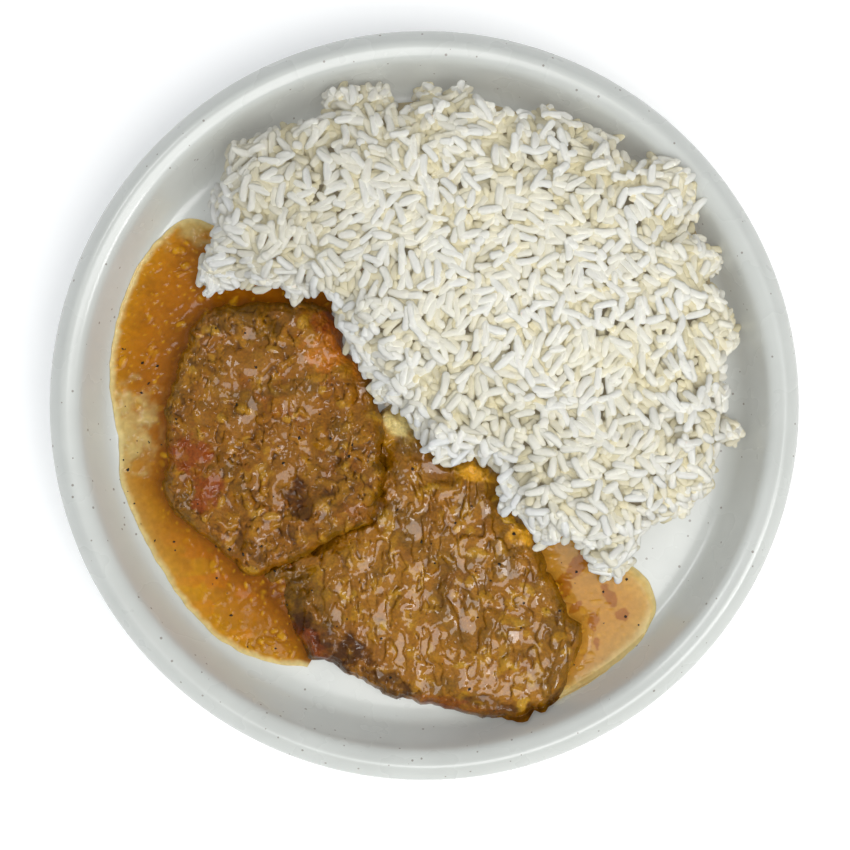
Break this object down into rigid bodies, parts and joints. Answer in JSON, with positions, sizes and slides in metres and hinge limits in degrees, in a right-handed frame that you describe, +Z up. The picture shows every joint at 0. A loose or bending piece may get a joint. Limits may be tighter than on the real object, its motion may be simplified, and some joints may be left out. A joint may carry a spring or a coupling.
{
  "type": "pork neck with rice on a plate",
  "caption": "Plated meal of braised pork neck slices in gravy beside a heap of boiled rice, on a round rimmed stoneware plate; stands on its foot ring.",
  "frame": {"origin": "centre of the plate at the plane of its foot ring", "axes": "+X to the right and +Y towards the rice side as seen from above with the pork at the lower left, +Z up"},
  "size_m": [0.27, 0.27, 0.0424],
  "materials": {
    "plate_glaze": "off-white semi-gloss glaze with fine dark specks",
    "boiled_rice": "moist, slightly translucent white grains",
    "braised_pork": "brown seared meat under a glossy onion gravy",
    "gravy": "wet amber gravy with darker oily spots"
  },
  "bodies": {
    "root": {"plate": "plate_glaze", "rice": "boiled_rice", "pork_slice_left": "braised_pork", "pork_slice_right": "braised_pork", "gravy_left": "gravy", "gravy_right": "gravy"}
  },
  "joints": []
}
